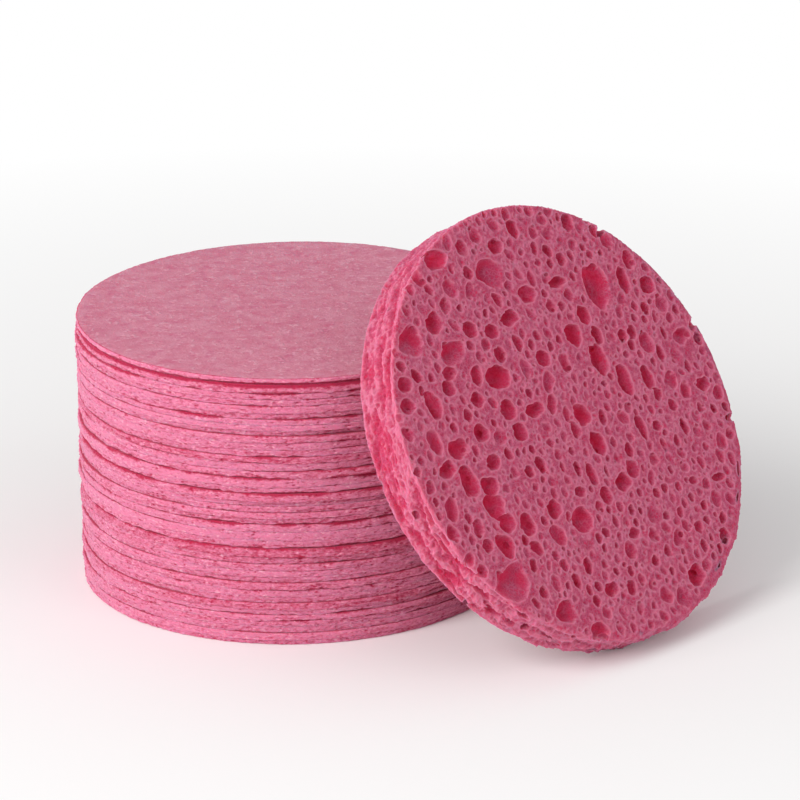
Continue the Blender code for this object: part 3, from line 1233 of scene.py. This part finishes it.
# Operators and panel


class SPONGES_OT_stage(bpy.types.Operator):
    """Make the pale floor, the soft lamps and the camera"""

    bl_idname = "sponges.stage"
    bl_label = "Stage"

    def execute(self, context):
        settings = context.scene.sponge_settings
        shape = bmesh.new()
        bmesh.ops.create_grid(shape, x_segments=1, y_segments=1, size=FLOOR_REACH)
        floor = linked_object("floor", finished_mesh("floor", shape))
        floor.data.materials.append(floor_material(settings))
        studio_world()
        for lamp in LAMPS:
            area_lamp(*lamp)
        photo_camera()
        context.scene.view_settings.view_transform = "Standard"
        return {"FINISHED"}


class SPONGES_OT_pressed_discs(bpy.types.Operator):
    """Make the pile of pressed discs with torn, wandering edges"""

    bl_idname = "sponges.pressed_discs"
    bl_label = "Pressed discs"

    def execute(self, context):
        settings = context.scene.sponge_settings
        fibre_tree, foam_tree = shared_groups()
        face = pressed_face_material(settings, fibre_tree)
        edge = pressed_edge_material(settings, fibre_tree, foam_tree)
        low, high = disc_box(1)
        plain = spun_disc((high.x - low.x) / 2.0, settings.disc_steps)
        for number in range(1, len(disc_nodes) + 1):
            make_disc(number, plain, settings, (face, edge))
        bpy.data.meshes.remove(plain)
        return {"FINISHED"}


class SPONGES_OT_expanded_sponge(bpy.types.Operator):
    """Make the expanded sponge with its cells, pores and torn rim"""

    bl_idname = "sponges.expanded_sponge"
    bl_label = "Expanded sponge"

    def execute(self, context):
        settings = context.scene.sponge_settings
        radius, thickness, place = sponge_place()
        source = random.Random(SEED)
        mesh = fine_slab(radius + RIM_SPARE, thickness)
        roughen_slab(mesh, settings.cell_size / MM)
        near = listed_pores(radius, thickness)
        near += scattered_pores(radius, thickness, 1.0, near, NEAR_LARGEST, source)
        near += inner_pores(near, 1.0, source)
        far = scattered_pores(radius, 0.0, -1.0, [], FAR_LARGEST, source)
        far += inner_pores(far, -1.0, source)
        pores = near + far + rim_pores(radius, thickness, source)
        mesh = cut_pores(mesh, pores)
        if len(mesh.polygons) < LEAST_FACES:
            raise RuntimeError("The pores could not be cut from the sponge")
        mend_faces(mesh)
        mesh.shade_smooth()
        mesh.set_sharp_from_angle(angle=SHARP_ANGLE)
        note_hollows(mesh, radius, thickness)
        mesh.transform(place)
        rest_on_table(mesh)
        mesh.materials.clear()
        mesh.materials.append(sponge_material(settings, *shared_groups()))
        mesh.name = "open_cell_sponge"
        sponge = linked_object("open_cell_sponge", mesh)
        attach(sponge, body_of_node[SPONGE_NODE])
        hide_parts(SPONGE_NODE)
        return {"FINISHED"}


class SPONGES_PT_panel(bpy.types.Panel):
    """Lists the pieces and their settings"""

    bl_idname = "SPONGES_PT_panel"
    bl_label = "Sponges"
    bl_space_type = "VIEW_3D"
    bl_region_type = "UI"
    bl_category = "Sponges"

    def draw(self, context):
        layout = self.layout
        for name in SpongeSettings.__annotations__:
            layout.prop(context.scene.sponge_settings, name)
        for operator in (SPONGES_OT_stage, SPONGES_OT_pressed_discs, SPONGES_OT_expanded_sponge):
            layout.operator(operator.bl_idname)


classes = (
    SpongeSettings,
    SPONGES_OT_stage,
    SPONGES_OT_pressed_discs,
    SPONGES_OT_expanded_sponge,
    SPONGES_PT_panel,
)


def register():
    for item in classes:
        bpy.utils.register_class(item)
    bpy.types.Scene.sponge_settings = bpy.props.PointerProperty(type=SpongeSettings)


def unregister():
    del bpy.types.Scene.sponge_settings
    for item in reversed(classes):
        bpy.utils.unregister_class(item)


def main():
    register()
    bpy.ops.sponges.stage()
    bpy.ops.sponges.pressed_discs()
    bpy.ops.sponges.expanded_sponge()


if __name__ == "__main__":
    main()
